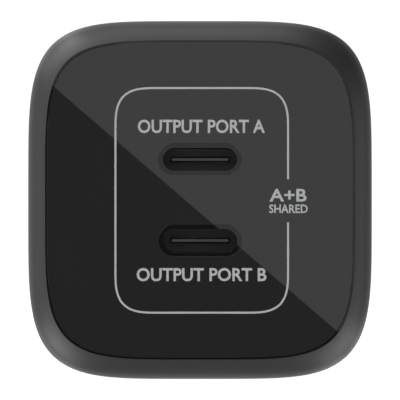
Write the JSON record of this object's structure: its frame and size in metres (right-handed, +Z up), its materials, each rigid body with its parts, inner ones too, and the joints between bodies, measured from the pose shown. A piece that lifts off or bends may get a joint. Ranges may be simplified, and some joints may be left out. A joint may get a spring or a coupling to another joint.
{
  "type": "usb wall charger",
  "caption": "Compact rounded-square mains charger with a folding flat-blade plug behind and stacked type-C ports in its glossy front face.",
  "frame": {"origin": "on the wall plane, midway between the two blades, on the flat of the blade carrier", "axes": "+Y points into the wall along the deployed blades, the ports face -Y, +Z is up and +X is to the right of someone who faces the ports"},
  "size_m": [0.0386, 0.0672, 0.0402],
  "materials": {
    "case": "fine matt black polycarbonate",
    "face_plate": "polished black polycarbonate",
    "adhesive": "black double-sided film",
    "plug_plastic": "fine matt black nylon",
    "blade_nickel": "nickel-plated brass, brushed along its length",
    "contact_bronze": "phosphor bronze",
    "spring_steel": "zinc-plated steel",
    "port_shell": "dark-plated stainless steel",
    "moulding": "black liquid-crystal polymer",
    "solder_mask": "green solder mask on glass-epoxy board",
    "chip_resin": "black moulding resin",
    "ferrite": "bare ferrite",
    "copper_wire": "enamelled copper wire",
    "tape_film": "yellow polyester tape",
    "polymer_can": "bare aluminium can",
    "capacitor_sleeve": "dark shrink sleeve over an aluminium can",
    "film_box": "yellow film-capacitor case",
    "disc_coating": "blue epoxy coating",
    "fuse_ceramic": "white ceramic tube",
    "barrier_film": "insulating aramid sheet",
    "gap_pad": "soft silicone gap filler",
    "spreader": "plain aluminium sheet"
  },
  "bodies": {
    "charger_body": {"main_housing": "case", "rear_cover": "case", "front_plate": "face_plate", "plate_adhesive": "adhesive", "hinge_keeper": "plug_plastic", "left_contact_spring": "contact_bronze", "right_contact_spring": "contact_bronze", "detent_spring": "spring_steel", "left_keeper_screw": "spring_steel", "right_keeper_screw": "spring_steel", "upper_port_shell": "port_shell", "lower_port_shell": "port_shell", "upper_port_tongue": "moulding", "lower_port_tongue": "moulding", "board_link": "moulding", "choke_base": "moulding", "transformer_bobbin": "moulding", "port_board": "solder_mask", "main_board": "solder_mask", "upper_port_controller": "chip_resin", "lower_port_controller": "chip_resin", "bridge_rectifier": "chip_resin", "power_switch": "chip_resin", "sync_rectifier": "chip_resin", "upper_port_inductor": "ferrite", "lower_port_inductor": "ferrite", "choke_core": "ferrite", "transformer_core_lower": "ferrite", "transformer_core_upper": "ferrite", "choke_winding_left": "copper_wire", "choke_winding_right": "copper_wire", "transformer_winding": "tape_film", "output_capacitor_1": "polymer_can", "output_capacitor_2": "polymer_can", "output_capacitor_3": "polymer_can", "output_capacitor_4": "polymer_can", "bulk_capacitor_front": "capacitor_sleeve", "bulk_capacitor_rear": "capacitor_sleeve", "x_capacitor": "film_box", "surge_varistor": "disc_coating", "y_capacitor": "disc_coating", "fuse": "fuse_ceramic", "insulation_barrier": "barrier_film", "thermal_pad": "gap_pad", "heat_spreader": "spreader"},
    "folding_plug": {"prong_carrier": "plug_plastic", "left_blade": "blade_nickel", "right_blade": "blade_nickel"}
  },
  "joints": [
    {"name": "plug_fold", "type": "hinge", "parent": "charger_body", "child": "folding_plug", "pos_m": [0, -0.0039, 0], "axis": [-1, 0, 0], "range_deg": [0, 90]}
  ]
}
